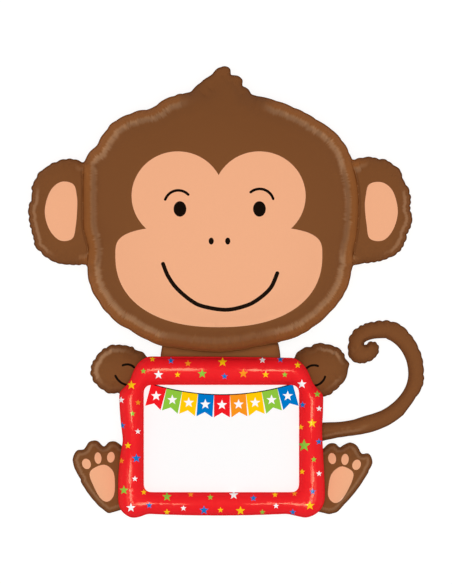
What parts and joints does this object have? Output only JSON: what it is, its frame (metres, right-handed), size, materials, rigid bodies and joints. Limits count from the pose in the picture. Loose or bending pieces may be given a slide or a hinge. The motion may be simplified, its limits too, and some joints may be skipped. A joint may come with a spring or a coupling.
{
  "type": "monkey foil balloon",
  "caption": "Inflated foil balloon shaped as a sitting monkey with round ears and a curled tail, holding a star-printed frame with a blank write-on panel; lies on its back.",
  "frame": {"origin": "middle of the balloon's box, on the surface that it lies on", "axes": "+Z from the back to the printed front, +Y from the feet to the top of the head, +X to the right when looking at the face"},
  "size_m": [0.8913, 1.0157, 0.28],
  "materials": {
    "brown_film": "semi-gloss printed foil film",
    "red_film": "semi-gloss printed foil film",
    "white_film": "smooth satin film that takes a felt pen"
  },
  "bodies": {
    "root": {"head_balloon": "brown_film", "body_balloon": "brown_film", "frame_balloon": "red_film", "write_on_panel": "white_film"}
  },
  "joints": []
}
